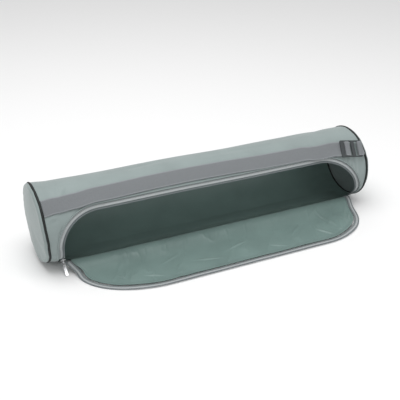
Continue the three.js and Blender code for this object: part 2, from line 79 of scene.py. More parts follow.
BUCKLE_SLOTS = (3.5, 5.5, 8.5)
BUCKLE_BAR = 7.8
BUCKLE_LENGTH = sum(BUCKLE_SLOTS) + BUCKLE_BAR * (len(BUCKLE_SLOTS) + 1)
BUCKLE_THICKNESS = 3.0
BUCKLE_ANGLE = 44.5
BUCKLE_TURN = 11.0
BUCKLE_FROM_END = 8.5
BUCKLE_RIGHT = HALF_LENGTH - BUCKLE_FROM_END
BUCKLE_CENTRE = BUCKLE_RIGHT - BUCKLE_LENGTH / 2
BUCKLE_LEFT = BUCKLE_CENTRE - BUCKLE_LENGTH / 2
LAYER = STRAP_THICKNESS + GAP
END_SEAM = HALF_LENGTH - PIPING_RADIUS - 3 * GAP
AXIS_HEIGHT = TUBE_RADIUS - FLOOR_SAG

# Cross-sections of the tube: (share of HALF_LENGTH, girth, lift), the last two as shares of TUBE_RADIUS
SECTIONS = np.array(
    [
        (-1.0, 0.98, 0.078),
        (-0.9, 0.998, 0.022),
        (-0.7, 1.0, 0.0),
        (-0.25, 1.008, 0.008),
        (0.2, 0.996, -0.004),
        (0.7, 1.0, 0.0),
        (0.92, 1.0, 0.006),
        (1.0, 0.98, 0.03),
    ]
)

# How far the end seams wander outwards along X: (share of a turn, left, right), as shares of TUBE_RADIUS
SEAMS = np.array(
    [
        (-0.25, 0.017, 0.033),
        (-0.16, -0.024, 0.028),
        (-0.1, -0.04, 0.02),
        (-0.03, -0.009, 0.0),
        (0.055, 0.02, -0.01),
        (0.125, 0.022, -0.03),
        (0.25, 0.046, -0.046),
        (0.5, 0.033, -0.01),
        (0.75, 0.017, 0.033),
    ]
)

# Dents: (share of HALF_LENGTH, half-length as such a share, angle, half-angle, share of TUBE_RADIUS)
DENTS = (
    (-0.93, 0.022, 78, 16, 0.018),
    (-0.86, 0.035, 66, 9, 0.02),
    (-0.95, 0.04, -4, 24, 0.014),
    (0.95, 0.05, 14, 26, 0.03),
    (0.8, 0.05, 118, 14, 0.018),
    (0.1, 0.16, 128, 12, 0.014),
    (-0.5, 0.12, 170, 20, 0.018),
    (0.45, 0.1, 186, 16, 0.018),
)

# Middle of the strap: (share of HALF_LENGTH, angle)
STRAP_LINE = np.array(
    [
        (-1.0, 45),
        (-0.92, 49),
        (-0.83, 50.5),
        (-0.7, 54.5),
        (-0.4, 56.5),
        (0.05, 56.3),
        (0.56, 53.2),
        (0.75, BUCKLE_ANGLE),
        (1.0, BUCKLE_ANGLE),
    ]
)

# Side view of the flap: (share of FLAP_REACH, height as a share of the hinge's height)
FLAP_FALL = (
    (0.03, 1.23),
    (0.07, 1.38),
    (0.13, 1.22),
    (0.23, 0.62),
    (0.34, 0.16),
    (0.46, 0.0),
    (0.62, 0.0),
    (0.78, 0.0),
    (0.9, 0.05),
    (1.0, 0.15),
)

# Ripples of the flap: (share of HALF_LENGTH, half-length, share of its depth, half-depth, share of CLOTH)
RIPPLES = (
    (-0.62, 0.07, 0.62, 0.22, 1.6),
    (-0.3, 0.09, 0.72, 0.2, 1.2),
    (0.08, 0.08, 0.6, 0.25, 2.0),
    (0.42, 0.1, 0.7, 0.2, 1.3),
    (0.74, 0.06, 0.6, 0.3, 2.2),
)

# Small folds of the tube's cloth: (x in mm, angle, tilt in degrees, half-length, half-width, depth)
FOLDS = (
    (-301, 76, 82, 13, 3.0, 1.5),
    (-288, 68, 64, 11, 3.0, 1.2),
    (-322, 26, 35, 10, 3.0, 1.3),
    (-312, 12, 72, 14, 3.4, 1.2),
    (-303, -12, 84, 17, 4.0, 1.0),
    (290, 23, 88, 15, 2.6, 1.5),
    (299, 18, 82, 21, 2.6, 1.6),
    (308, 22, 96, 17, 2.6, 1.4),
    (317, 4, 86, 24, 3.2, 1.3),
    (-120, 96, 5, 60, 6.0, 0.8),
    (70, 88, -4, 70, 7.0, 0.8),
    (210, 101, 6, 50, 6.0, 0.8),
)

# Creases of the flap, upwards: (x in mm, share of its depth, tilt, half-length, half-width, height)
CREASES = (
    (-232, 0.6, 62, 9, 1.6, 1.5),
    (-223, 0.56, 118, 7, 1.6, 1.3),
    (-175, 0.72, 20, 16, 2.0, 1.2),
    (-128, 0.45, -25, 20, 2.4, 1.3),
    (-60, 0.66, 12, 24, 2.2, 1.2),
    (15, 0.52, -12, 26, 2.6, 1.4),
    (88, 0.74, 30, 15, 2.0, 1.2),
    (150, 0.5, -38, 22, 2.6, 1.6),
    (205, 0.7, 55, 20, 2.4, 1.8),
    (232, 0.45, 78, 24, 2.6, 1.9),
    (248, 0.8, 40, 14, 2.0, 1.6),
)


# Surfaces


def read_table(table, value, column):
    """A smooth reading of a column of a table at `value` of its first column."""
    at = table[:, 0]
    value = np.clip(value, at[0], at[-1])
    i = np.clip(np.searchsorted(at, value, side="right") - 1, 0, len(at) - 2)
    share = (value - at[i]) / (at[i + 1] - at[i])
    share = share * share * (3 - 2 * share)
    return table[i, column] * (1 - share) + table[i + 1, column] * share


def bump(distance, width):
    return np.exp(-((distance / width) ** 2))


def fold(x, y, tilt, half_length, half_width):
    """A straight fold with a low counter-fold beside it, at (0, 0), about 1 high."""
    tilt = math.radians(tilt)
    along, across = x * math.cos(tilt) + y * math.sin(tilt), y * math.cos(tilt) - x * math.sin(tilt)
    side = bump(across, half_width) - 0.5 * bump(across - 2 * half_width, 1.4 * half_width)
    return bump(along, half_length) * side


def smooth(value, low, high):
    share = np.clip((value - low) / (high - low), 0, 1)
    return share * share * (3 - 2 * share)


def turned(angle, middle):
    """Degrees from middle to angle, within half a turn either way."""
    return (angle - middle + 540) % 360 - 180


def arc(angle):
    """Length of an angle round the tube."""
    return angle * math.pi / 180 * TUBE_RADIUS


def radius_at(x):
    return TUBE_RADIUS * read_table(SECTIONS, x / HALF_LENGTH, 1)


def axis_at(x):
    return AXIS_HEIGHT + TUBE_RADIUS * read_table(SECTIONS, x / HALF_LENGTH, 2)


def seam_shift(x, angle):
    """How far a point near an end moves along X with its seam."""
    turn = (angle + 90) % 360 / 360 - 0.25
    share = smooth(np.abs(x) / HALF_LENGTH, 0.8, 1) * TUBE_RADIUS
    return np.where(x < 0, -share * read_table(SEAMS, turn, 1), share * read_table(SEAMS, turn, 2))


def dent_depth(x, angle):
    depth = 0
    for at, along, middle, around, deep in DENTS:
        near = bump(x / HALF_LENGTH - at, along) * bump(turned(angle, middle), around)
        depth = depth + deep * TUBE_RADIUS * near
    return depth


def tube_point(x, angle, off):
    """Points of the tube's wall as an array (..., 3). off is outwards from its outer face."""
    r = radius_at(x) + off - dent_depth(x, angle)
    turn = np.radians(angle)
    z = np.maximum(axis_at(x) + r * np.sin(turn), -off)
    return np.stack(np.broadcast_arrays(x + seam_shift(x, angle), -r * np.cos(turn), z), axis=-1)


def front_point(x, up, off):
    """The same by the way up the front, in mm along the cloth from the hinge line."""
    return tube_point(x, HINGE_ANGLE + np.degrees(up / TUBE_RADIUS), off)


def outline_d(left, right, height, corners, steps):
    """A D-shaped outline in the plane of the cloth, evenly spaced, from its left foot to its right foot."""
    (la, lu), (ra, ru) = corners
    turn = np.linspace(0, math.pi / 2, 60)
    parts = [
        np.array([(left, 0.0)]),
        np.stack([left + la - la * np.cos(turn), height - lu + lu * np.sin(turn)], axis=1),
        np.stack([right - ra + ra * np.sin(turn), height - ru + ru * np.cos(turn)], axis=1),
        np.array([(right, 0.0)]),
    ]
    line = np.concatenate(parts)
    way = np.concatenate([[0], np.cumsum(np.hypot(*np.diff(line, axis=0).T))])
    even = np.linspace(0, way[-1], steps + 1)
    return np.stack([np.interp(even, way, line[:, i]) for i in (0, 1)], axis=1)


def inset(outline, by):
    """The outline moved towards its inside."""
    along = np.gradient(outline, axis=0)
    along /= np.linalg.norm(along, axis=1)[:, None]
    moved = outline + by * np.stack([along[:, 1], -along[:, 0]], axis=1)
    moved[:, 1] = np.maximum(moved[:, 1], 0)
    return moved


def catmull(points, steps):
    """A centripetal curve through the points, evenly spaced."""
    points = np.asarray(points, float)
    ends = np.concatenate([[2 * points[0] - points[1]], points, [2 * points[-1] - points[-2]]])
    found = []
    for a, b, c, d in zip(ends, ends[1:], ends[2:], ends[3:]):
        t = np.cumsum([0] + [np.linalg.norm(q - p) ** 0.5 for p, q in ((a, b), (b, c), (c, d))])
        s = np.linspace(t[1], t[2], 40, endpoint=False)[:, None]
        a1 = (t[1] - s) / (t[1] - t[0]) * a + (s - t[0]) / (t[1] - t[0]) * b
        a2 = (t[2] - s) / (t[2] - t[1]) * b + (s - t[1]) / (t[2] - t[1]) * c
        a3 = (t[3] - s) / (t[3] - t[2]) * c + (s - t[2]) / (t[3] - t[2]) * d
        b1 = (t[2] - s) / (t[2] - t[0]) * a1 + (s - t[0]) / (t[2] - t[0]) * a2
        b2 = (t[3] - s) / (t[3] - t[1]) * a2 + (s - t[1]) / (t[3] - t[1]) * a3
        found.append((t[2] - s) / (t[2] - t[1]) * b1 + (s - t[1]) / (t[2] - t[1]) * b2)
    line = np.concatenate(found + [points[-1:]])
    way = np.concatenate([[0], np.cumsum(np.linalg.norm(np.diff(line, axis=0), axis=1))])
    even = np.linspace(0, way[-1], steps + 1)
    return np.stack([np.interp(even, way, line[:, i]) for i in range(line.shape[1])], axis=1), way[-1]


HINGE_DROP = AXIS_HEIGHT + TUBE_RADIUS * math.sin(math.radians(HINGE_ANGLE))
HINGE_OUT = TUBE_RADIUS * math.cos(math.radians(HINGE_ANGLE))
FALL, FLAP_DEPTH = catmull(
    [(-HINGE_OUT, HINGE_DROP)] + [(-HINGE_OUT - out * FLAP_REACH, up * HINGE_DROP) for out, up in FLAP_FALL],
    400,
)
FALL_ALONG = np.gradient(FALL, axis=0)
FALL_ALONG /= np.linalg.norm(FALL_ALONG, axis=1)[:, None]


def ripple_height(x, out):
    height = 0
    for at, along, middle, deep, high in RIPPLES:
        near = bump(x / HALF_LENGTH - at, along) * bump(out / FLAP_DEPTH - middle, deep)
        height = height + high * CLOTH * near
    return height


def flap_point(x, out, off):
    """Points of the flap: out is along its cloth from the hinge line, off upwards from its underside."""
    x, out, off = np.broadcast_arrays(np.asarray(x, float), out, off)
    share = np.clip(out / FLAP_DEPTH, 0, 1)
    at = np.linspace(0, 1, len(FALL))
    y, z = (np.interp(share, at, FALL[:, i]) for i in (0, 1))
    along_y, along_z = (np.interp(share, at, FALL_ALONG[:, i]) for i in (0, 1))
    z = np.maximum(z, 0)
    leaving = smooth(share, 0.08, 0.32)
    seat = tube_point(x, HINGE_ANGLE, 0)
    y = y + (seat[..., 1] + HINGE_OUT) * (1 - leaving) + off * along_z
    z = z + (seat[..., 2] - HINGE_DROP) * (1 - leaving) - off * along_y + ripple_height(x, out) * leaving
    return np.stack([x + (FLAP_SHIFT - FLAP_DRAW * x) * leaving, y, z], axis=-1)


def near_buckle(x):
    """How much a place along the strap belongs to the buckle: 1 under it, 0 away from it."""
    before = smooth(BUCKLE_CENTRE - x, BUCKLE_LENGTH / 2 + GAP, 2 * BUCKLE_LENGTH)
    after = smooth(x, BUCKLE_RIGHT + LAYER, END_SEAM)
    return 1 - np.maximum(before, after)


def strap_point(x, across, high):
    """Points of the strap's space: across it, up the tube being positive, and high above the cloth.

    Near the buckle this space turns with the buckle.
    """
    x, across, high = np.broadcast_arrays(np.asarray(x, float), across, high)
    near = near_buckle(x)
    turn = np.radians(BUCKLE_TURN) * near
    ahead = x - BUCKLE_CENTRE
    along = BUCKLE_CENTRE + ahead * np.cos(turn) + across * np.sin(turn)
    aside = across * np.cos(turn) - ahead * np.sin(turn)
    inside = np.clip(x, -HALF_LENGTH, HALF_LENGTH)
    degrees = read_table(STRAP_LINE, inside / HALF_LENGTH, 1)
    angle = np.radians(degrees)
    away = smooth((BUCKLE_CENTRE - x) / BUCKLE_LENGTH, 1, 3)
    r = radius_at(inside) + high - STRAP_FOLLOW * away * across**2 / (2 * TUBE_RADIUS)
    y = -r * np.cos(angle) + aside * np.sin(angle)
    z = axis_at(inside) + r * np.sin(angle) + aside * np.cos(angle)
    shift = seam_shift(inside, degrees) * (1 - near) + seam_shift(np.array(BUCKLE_CENTRE), degrees) * near
    return np.stack([along + shift, y, z], axis=-1)


def field(x, y, scale, seed, octaves=3):
    """Smooth noise about 0 over two arrays of mm. scale is the size of its largest waves."""
    shape = np.broadcast(x, y).shape
    flat = zip(np.broadcast_to(x, shape).ravel() / scale, np.broadcast_to(y, shape).ravel() / scale)
    made = [noise.fractal(Vector((a, b, seed)), 1.0, 2.0, octaves) for a, b in flat]
    return np.array(made).reshape(shape)


# Meshes


def mesh_object(name, points, faces, material, uv=None):
    """A smooth-shaded piece. uv holds one pair per point, in metres over the cloth."""
    mesh = bpy.data.meshes.new(name)
    places = [tuple(p) for p in np.asarray(points) * MM]
    polygons = [tuple(int(i) for i in f) for f in faces]
    mesh.from_pydata(places, [], polygons)
    mesh.polygons.foreach_set("use_smooth", [True] * len(mesh.polygons))
    if uv is not None:
        layer = mesh.uv_layers.new(name="cloth")
        corner = np.empty(len(mesh.loops), dtype=np.int32)
        mesh.loops.foreach_get("vertex_index", corner)
        layer.data.foreach_set("uv", np.asarray(uv, dtype=np.float32)[corner].ravel())
    mesh.materials.append(material)
    mesh.update()
    obj = bpy.data.objects.new(name, mesh)
    bpy.context.scene.collection.objects.link(obj)
    return obj


def grid_faces(rows, columns, round_columns=False, start=0, flip=False):
    cells = columns if round_columns else columns - 1
    r, c = np.meshgrid(np.arange(rows - 1), np.arange(cells), indexing="ij")
    after = (c + 1) % columns
    quads = [r * columns + c, r * columns + after, (r + 1) * columns + after, (r + 1) * columns + c]
    faces = start + np.stack(quads, axis=-1).reshape(-1, 4)
    return faces[:, ::-1] if flip else faces


def shell(name, outer, inner, material, uv=None, round_columns=False):
    """A closed sheet between two grids of points, each (rows, columns, 3). outer faces outwards."""
    rows, columns = outer.shape[:2]
    count = rows * columns
    index = np.arange(count).reshape(rows, columns)
    faces = [grid_faces(rows, columns, round_columns), grid_faces(rows, columns, round_columns, count, True)]

    def edge(line):
        a, b = line[:-1], line[1:]
        return np.stack([b, a, a + count, b + count], axis=1)

    first, last = index[0], index[-1][::-1]
    if round_columns:
        first, last = np.append(first, first[0]), np.append(last, last[0])
    borders = [first, last]
    if not round_columns:
        borders += [index[:, 0][::-1], index[:, -1]]
    faces += [edge(line) for line in borders]
    points = np.concatenate([outer.reshape(-1, 3), inner.reshape(-1, 3)])
    twice = None if uv is None else np.concatenate([uv.reshape(-1, 2)] * 2)
    return mesh_object(name, points, np.concatenate(faces), material, twice)


def outward(obj):
    """Turns the faces of a closed piece outwards."""
    made = bmesh.new()
    made.from_mesh(obj.data)
    bmesh.ops.recalc_face_normals(made, faces=made.faces)
    made.to_mesh(obj.data)
    made.free()
    return obj


def piece(obj, slot, *nodes):
    """Puts a piece on the bag, in place of CAD nodes. slot is not used."""
    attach(obj, "bag")
    if nodes:
        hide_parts(*nodes)
    return obj


# Materials


class Nodes:
    """Short calls for building a material's node tree."""

    def __init__(self, name):
        self.material = bpy.data.materials.new(name)
        self.material.use_nodes = True
        self.tree = self.material.node_tree
        self.shader = self.tree.nodes["Principled BSDF"]

    def new(self, kind):
        return self.tree.nodes.new(kind)

    def link(self, source, target):
        self.tree.links.new(source, target)

    def noise(self, coordinates, scale, detail=3.0, roughness=0.5):
        node = self.new("ShaderNodeTexNoise")
        node.inputs["Scale"].default_value = scale
        node.inputs["Detail"].default_value = detail
        node.inputs["Roughness"].default_value = roughness
        self.link(coordinates, node.inputs["Vector"])
        return node.outputs["Fac"]

    def ramp(self, value, *stops):
        node = self.new("ShaderNodeValToRGB")
        elements = node.color_ramp.elements
        while len(elements) < len(stops):
            elements.new(0.5)
        for element, (at, color) in zip(elements, stops):
            element.position = at
            element.color = (*color, 1)
        self.link(value, node.inputs["Fac"])
        return node.outputs["Color"]

    def math(self, operation, a, b=None, c=None):
        node = self.new("ShaderNodeMath")
        node.operation = operation
        for socket, value in zip(node.inputs, (a, b, c)):
            if value is None:
                continue
            if isinstance(value, (int, float)):
                socket.default_value = value
            else:
                self.link(value, socket)
        return node.outputs["Value"]

    def separate(self, vector):
        node = self.new("ShaderNodeSeparateXYZ")
        self.link(vector, node.inputs["Vector"])
        return node.outputs

    def bump(self, height, strength, distance, normal=None):
        node = self.new("ShaderNodeBump")
        node.inputs["Strength"].default_value = strength
        node.inputs["Distance"].default_value = distance
        self.link(height, node.inputs["Height"])
        if normal is not None:
            self.link(normal, node.inputs["Normal"])
        return node.outputs["Normal"]

    def finish(self, color, roughness=None, normal=None, **constants):
        self.link(color, self.shader.inputs["Base Color"])
        if roughness is not None:
            self.link(roughness, self.shader.inputs["Roughness"])
        if normal is not None:
            self.link(normal, self.shader.inputs["Normal"])
        for name, value in constants.items():
            self.shader.inputs[name.replace("_", " ")].default_value = value
        return self.material


def srgb(*values):
    """0-255 display values as linear ones."""
    shares = [value / 255 for value in values]
    return tuple(c / 12.92 if c <= 0.04045 else ((c + 0.055) / 1.055) ** 2.4 for c in shares)


def shade(color, factor):
    return tuple(min(c * factor, 1) for c in color)


# Pitches of the weaves, in metres
NYLON_PITCH = 0.0011
RIB_PITCH = 0.0021
PICK_PITCH = 0.0016


def cloth_weave(n, pitch):
    """Height of a plain weave over the cloth's own coordinates."""
    uv = n.new("ShaderNodeUVMap")
    uv.uv_map = "cloth"
    x, y, _ = n.separate(uv.outputs["UV"])
    turns = 2 * math.pi / pitch
    warp = n.math("SINE", n.math("MULTIPLY", x, turns))
    weft = n.math("SINE", n.math("MULTIPLY", y, turns))
    return n.math("MULTIPLY", warp, weft)


def make_nylon(name, color, weave_bump, crease_bump, roughness, sheen):
    n = Nodes(name)
    place = n.new("ShaderNodeTexCoord").outputs["Object"]
    mottle = n.noise(place, 14, 4, 0.55)
    tint = n.ramp(mottle, (0.3, shade(color, 0.9)), (0.55, color), (0.8, shade(color, 1.07)))
    creases = n.noise(place, 60, 5, 0.6)
    normal = n.bump(creases, crease_bump, 0.0008)
    normal = n.bump(cloth_weave(n, NYLON_PITCH), weave_bump, 0.0001, normal)
    rough = n.math("MULTIPLY_ADD", mottle, 0.16, roughness - 0.08)
    return n.finish(tint, rough, normal, Sheen_Weight=sheen, Sheen_Roughness=0.45, Specular_IOR_Level=0.4)


def make_ribbed(name, bands, half_width):
    """Ribbed webbing or tape. bands are stops of (share of the width from edge to edge, colour)."""
    n = Nodes(name)
    uv = n.new("ShaderNodeUVMap")
    uv.uv_map = "cloth"
    across, along, _ = n.separate(uv.outputs["UV"])
    ribs = n.math("SINE", n.math("MULTIPLY", across, 2 * math.pi / RIB_PITCH))
    offset = n.math("MULTIPLY", ribs, 1.2)
    picks = n.math("SINE", n.math("MULTIPLY_ADD", along, 2 * math.pi / PICK_PITCH, offset))
    height = n.math("MULTIPLY_ADD", picks, 0.4, ribs)
    share = n.math("MULTIPLY_ADD", across, 0.5 / half_width, 0.5)
    tint = n.ramp(share, *bands)
    place = n.new("ShaderNodeTexCoord").outputs["Object"]
    grain = n.noise(place, 700, 2)
    dusted = n.new("ShaderNodeMix")
    dusted.data_type = "RGBA"
    dusted.blend_type = "MULTIPLY"
    dusted.inputs["Factor"].default_value = 1.0
    n.link(tint, dusted.inputs["A"])
    n.link(n.ramp(grain, (0.3, (0.86, 0.86, 0.86)), (0.7, (1.0, 1.0, 1.0))), dusted.inputs["B"])
    rough = n.math("MULTIPLY_ADD", grain, 0.1, 0.7)
    normal = n.bump(height, 0.6, 0.0003)
    return n.finish(dusted.outputs["Result"], rough, normal, Sheen_Weight=0.2, Sheen_Roughness=0.5)


def make_grain(name, color, roughness, scale, strength, **constants):
    """Plastic, cord or metal with a fine grain."""
    n = Nodes(name)
    place = n.new("ShaderNodeTexCoord").outputs["Object"]
    grain = n.noise(place, scale, 4)
    tint = n.ramp(grain, (0.3, shade(color, 0.9)), (0.7, shade(color, 1.08)))
    rough = n.math("MULTIPLY_ADD", grain, 0.12, roughness - 0.06)
    return n.finish(tint, rough, n.bump(grain, strength, 0.0002), **constants)


GREY_GREEN = srgb(139, 151, 150)
INNER_GREEN = srgb(116, 137, 133)
WEBBING_GREY = srgb(120, 124, 127)
TAPE_GREY = srgb(178, 183, 184)
# painted shade: TAPE_EDGE_SHADE darkens the zip tape where the cloth's folded edge stands over it, and on the
# opening's tape also beside the coil
TAPE_EDGE_SHADE = srgb(118, 126, 128)

nylon = make_nylon("nylon_cloth", GREY_GREEN, 0.35, 0.25, 0.55, 0.25)
lining = make_nylon("coated_cloth", INNER_GREEN, 0.1, 0.4, 0.4, 0.05)
# painted highlight: the outer 2 mm of both webbing edges is lightened to stand in for light catching the
# edges
painted_edge_highlight = shade(WEBBING_GREY, 1.35)
webbing_bands = [
    (0.0, painted_edge_highlight),
    (0.05, painted_edge_highlight),
    (0.08, WEBBING_GREY),
    (0.92, WEBBING_GREY),
    (0.95, painted_edge_highlight),
]
webbing_cloth = make_ribbed("grey_webbing", webbing_bands, STRAP_WIDTH / 2 * MM)
# painted shade at the tape's edges; on the flap's tape only the edge beside the cloth is darkened
tape_bands = [
    (0.0, TAPE_EDGE_SHADE),
    (0.52, TAPE_EDGE_SHADE),
    (0.6, TAPE_GREY),
    (0.86, TAPE_GREY),
    (0.93, TAPE_EDGE_SHADE),
]
tape_cloth = make_ribbed("zip_tape", tape_bands, TAPE_SHOWN * MM)
coil_plastic = make_grain("coil_plastic", srgb(128, 135, 138), 0.4, 900, 0.1)
cord_cover = make_grain("dark_cord", srgb(18, 23, 22), 0.65, 700, 0.5)
thread = make_grain("thread", srgb(66, 74, 74), 0.7, 2000, 0.3)
bright_metal = make_grain("bright_metal", (0.62, 0.63, 0.64), 0.28, 600, 0.05, Metallic=1.0)
buckle_plastic = make_grain("buckle_plastic", srgb(52, 57, 59), 0.36, 1400, 0.2)


# Tube

OPENING_HEIGHT = math.radians(OPENING_TOP_ANGLE - HINGE_ANGLE) * TUBE_RADIUS
OPENING = outline_d(OPENING_LEFT, OPENING_RIGHT, OPENING_HEIGHT, OPENING_CORNERS, 520)


def opening_top(x):
    """Height of the D's outline above the hinge line, or below zero beside it."""
    (la, lu), (ra, ru) = OPENING_CORNERS
    left = np.clip((OPENING_LEFT + la - x) / la, 0, 1)
    right = np.clip((x - OPENING_RIGHT + ra) / ra, 0, 1)
    top = OPENING_HEIGHT - lu * (1 - np.sqrt(1 - left**2)) - ru * (1 - np.sqrt(1 - right**2))
    return np.where((x > OPENING_LEFT) & (x < OPENING_RIGHT), top, -1)


def tube_relief(x, angle):
    """Soft unevenness and small folds of the tube's cloth, outwards."""
    way = arc(angle)
    broad = 0.5 * field(x, way * 1.6, 90, 3.1, 2)
    ends = smooth(np.abs(x), HALF_LENGTH - 45, HALF_LENGTH - 4)
    puckers = 0.55 * ends * field(x * 0.25, way, 9, 7.7, 2)
    folds = 0
    for at, middle, tilt, half_length, half_width, depth in FOLDS:
        beside = arc(turned(angle, middle))
        folds = folds - depth * fold(x - at, beside, tilt, half_length, half_width)
    return broad + puckers + folds


def tube_skin(name, off, step, material, slot):
    """One face of the tube's cloth with the opening left out."""
    end = HALF_LENGTH - PIPING_RADIUS - GAP
    xs = np.linspace(-end, end, round(2 * end / step) + 1)
    turns = round(2 * math.pi * TUBE_RADIUS / step)
    angles = -90 + 360 * np.arange(turns) / turns
    x, angle = (a.copy() for a in np.meshgrid(xs, angles, indexing="ij"))
    up = arc(angle - HINGE_ANGLE)
    cut = (up > 0) & (up < opening_top(x))
    faces = grid_faces(len(xs), turns, True)
    inside = cut.ravel()[faces]
    mixed_faces = inside.any(axis=1) & ~inside.all(axis=1)
    moved = np.unique(faces[mixed_faces][inside[mixed_faces]])
    flat_x, flat_up = x.ravel(), up.ravel()
    closing = np.stack([np.linspace(OPENING_LEFT, OPENING_RIGHT, 700), np.zeros(700)], axis=1)
    outline = outline_d(OPENING_LEFT, OPENING_RIGHT, OPENING_HEIGHT, OPENING_CORNERS, 1600)
    border = np.concatenate([outline, closing])
    for i in moved:
        nearest = border[np.argmin((border[:, 0] - flat_x[i]) ** 2 + (border[:, 1] - flat_up[i]) ** 2)]
        flat_x[i], flat_up[i] = nearest
    angle = HINGE_ANGLE + np.degrees(flat_up / TUBE_RADIUS)
    keep = faces[~inside.all(axis=1)]
    relief = tube_relief(flat_x, angle)
    from_hinge = np.maximum(flat_up, 0) + 8 * (flat_up < -4)
    from_floor = np.abs(np.sin(np.radians(angle + 90) / 2)) * 2 * TUBE_RADIUS
    free = smooth(from_floor, 0, 12) * smooth(from_hinge, 0, 6)
    points = tube_point(flat_x, angle, off + relief * free)
    used = np.unique(keep)
    renumber = np.full(len(points), -1)
    renumber[used] = np.arange(len(used))
    uv = np.stack([flat_x, np.radians(angle) * TUBE_RADIUS], axis=1) * MM
    obj = mesh_object(name, points[used], renumber[keep][:, ::-1 if off == 0 else 1], material, uv[used])
    return piece(obj, slot, "tube_panel")


tube_skin("tube_cloth", 0.0, 2.2, nylon, "nylon")
tube_skin("tube_inner_face", -CLOTH, 3.6, lining, "nylon")


def band(name, outline, low_inset, high_inset, place, low, high, material, slot, *nodes, across=4, first=0.0):
    """A closed strip along an outline, between two insets."""
    half = len(outline) // 2
    rows = np.array([i for i in range(len(outline)) if i > half or outline[i + 1][1] > first])
    insets = np.linspace(low_inset, high_inset, across + 1)
    edges = [inset(outline, by) for by in insets]
    x = np.stack([e[rows, 0] for e in edges], axis=1)
    up = np.stack([e[rows, 1] for e in edges], axis=1)
    up = np.where(rows[:, None] <= half, np.maximum(up, first), up)
    along = np.cumsum(np.hypot(*np.gradient(outline, axis=0).T))[rows]
    uv = np.stack(np.broadcast_arrays(insets[None, :], along[:, None]), axis=-1) * MM
    obj = shell(name, place(x, up, high), place(x, up, low), material, uv)
    return piece(outward(obj), slot, *nodes)


# The cloth's turned edge round the opening, which stands a little proud of the panel
HEM_WIDTH = 3.4
HEM_PROUD = 0.45
band("opening_hem", OPENING, -HEM_WIDTH, 0.1, front_point, -CLOTH, HEM_PROUD, nylon, "nylon", across=3)


# End panels and piping


def ring_point(sign, r, turn, out):
    """A point of an end ring: r from its middle, out from the seam along the tube. turn is in radians."""
    x = sign * HALF_LENGTH
    scale = float(radius_at(np.array(x))) / TUBE_RADIUS
    middle = float(axis_at(np.array(x)))
    wander = np.minimum(r / TUBE_RADIUS, 1) * seam_shift(np.array(x), np.degrees(turn))
    y, z = -r * scale * np.cos(turn), middle + r * scale * np.sin(turn)
    return np.stack(np.broadcast_arrays(x + sign * out + wander, y, z), axis=-1)


def cap_out(r, rim):
    """How far the outer face of an end panel is from the seam, at a distance from its middle."""
    rim_start = TUBE_RADIUS - rim
    dome = CAP_BULGE * np.cos(np.minimum(r / rim_start, 1) * math.pi / 2)
    corner = rim - np.sqrt(np.maximum(rim**2 - np.maximum(r - rim_start, 0) ** 2, 0))
    return PIPING_RADIUS + GAP + rim + dome - corner


def make_end_panel(name, sign, node):
    turns = np.linspace(0, 2 * math.pi, 200, endpoint=False)
    shares = np.sin(np.linspace(0.02, math.pi / 2, 60))
    r, turn = np.meshgrid(TUBE_RADIUS * shares, turns, indexing="ij")
    x, y = r * np.cos(turn), r * np.sin(turn)
    rim = CAP_RIMS[sign]
    near_rim = smooth(r, TUBE_RADIUS * 0.72, TUBE_RADIUS * 0.96)
    puckers = 0.5 * near_rim * field(turn * TUBE_RADIUS, r * 0.3, 11, 4.4 + sign, 2)
    slack = 0.9 * field(x, y, 60, 9.2 + sign, 2) * (1 - smooth(r, 60, 75))
    outer = ring_point(sign, r, turn, cap_out(r, rim) + puckers + slack)
    inside = np.maximum(cap_out(np.minimum(r, TUBE_RADIUS - CLOTH), rim) - CLOTH, PIPING_RADIUS + GAP)
    inner = ring_point(sign, np.minimum(r, TUBE_RADIUS - CLOTH), turn, inside + slack)
    uv = np.stack([x, y], axis=-1) * MM
    obj = shell(name, outer, inner, nylon, uv, round_columns=True)
    close_middle(obj, len(turns), outer.shape[0])
    return piece(outward(obj), "nylon", node)


def close_middle(obj, columns, rows):
    """Fills the small hole in the middle of a round shell."""
    made = bmesh.new()
    made.from_mesh(obj.data)
    made.verts.ensure_lookup_table()
    count = rows * columns
    walls = [f for f in made.faces if all(v.index % count < columns for v in f.verts) and len(f.verts) == 4]
    bmesh.ops.delete(made, geom=walls, context="FACES_ONLY")
    made.verts.ensure_lookup_table()
    for start in (0, count):
        made.faces.new([made.verts[start + i] for i in range(columns)])
    made.to_mesh(obj.data)
    made.free()


def make_cord(name, sign, node):
    """A covered cord round an end ring, with the faint lumps of its seam allowance."""
    turns = np.linspace(0, 2 * math.pi, 320, endpoint=False)
    round_cord = np.linspace(0, 2 * math.pi, 14, endpoint=False)
    turn, a = np.meshgrid(turns, round_cord, indexing="ij")
    thick = PIPING_RADIUS * (1 + 0.06 * field(turn * TUBE_RADIUS, 0 * turn, 7, 2.5 + sign, 2))
    r = TUBE_RADIUS + PIPING_PROUD - PIPING_RADIUS + thick * np.cos(a)
    points = ring_point(sign, r, turn, thick * np.sin(a))
    points = np.concatenate([points, points[:1]])
    faces = grid_faces(len(turns) + 1, len(round_cord), True)
    count = len(turns) * len(round_cord)
    faces = np.where(faces >= count, faces - count, faces)
    obj = mesh_object(name, points[:-1].reshape(-1, 3), faces, cord_cover)
    return piece(outward(obj), "piping", node)


for side, sign in (("left", -1), ("right", 1)):
    make_end_panel(f"end_cloth_{side}", sign, f"end_panel_{side}")
    make_cord(f"piping_cord_{side}", sign, f"piping_{side}")


# Flap

ZIP_INSET = TAPE_SHOWN + GAP + COIL_WIDTH
FLAP_SIDE = ZIP_INSET + TAB_CLEARANCE
FLAP_EDGE = outline_d(OPENING_LEFT + FLAP_SIDE, OPENING_RIGHT - FLAP_SIDE, FLAP_DEPTH, FLAP_CORNERS, 520)


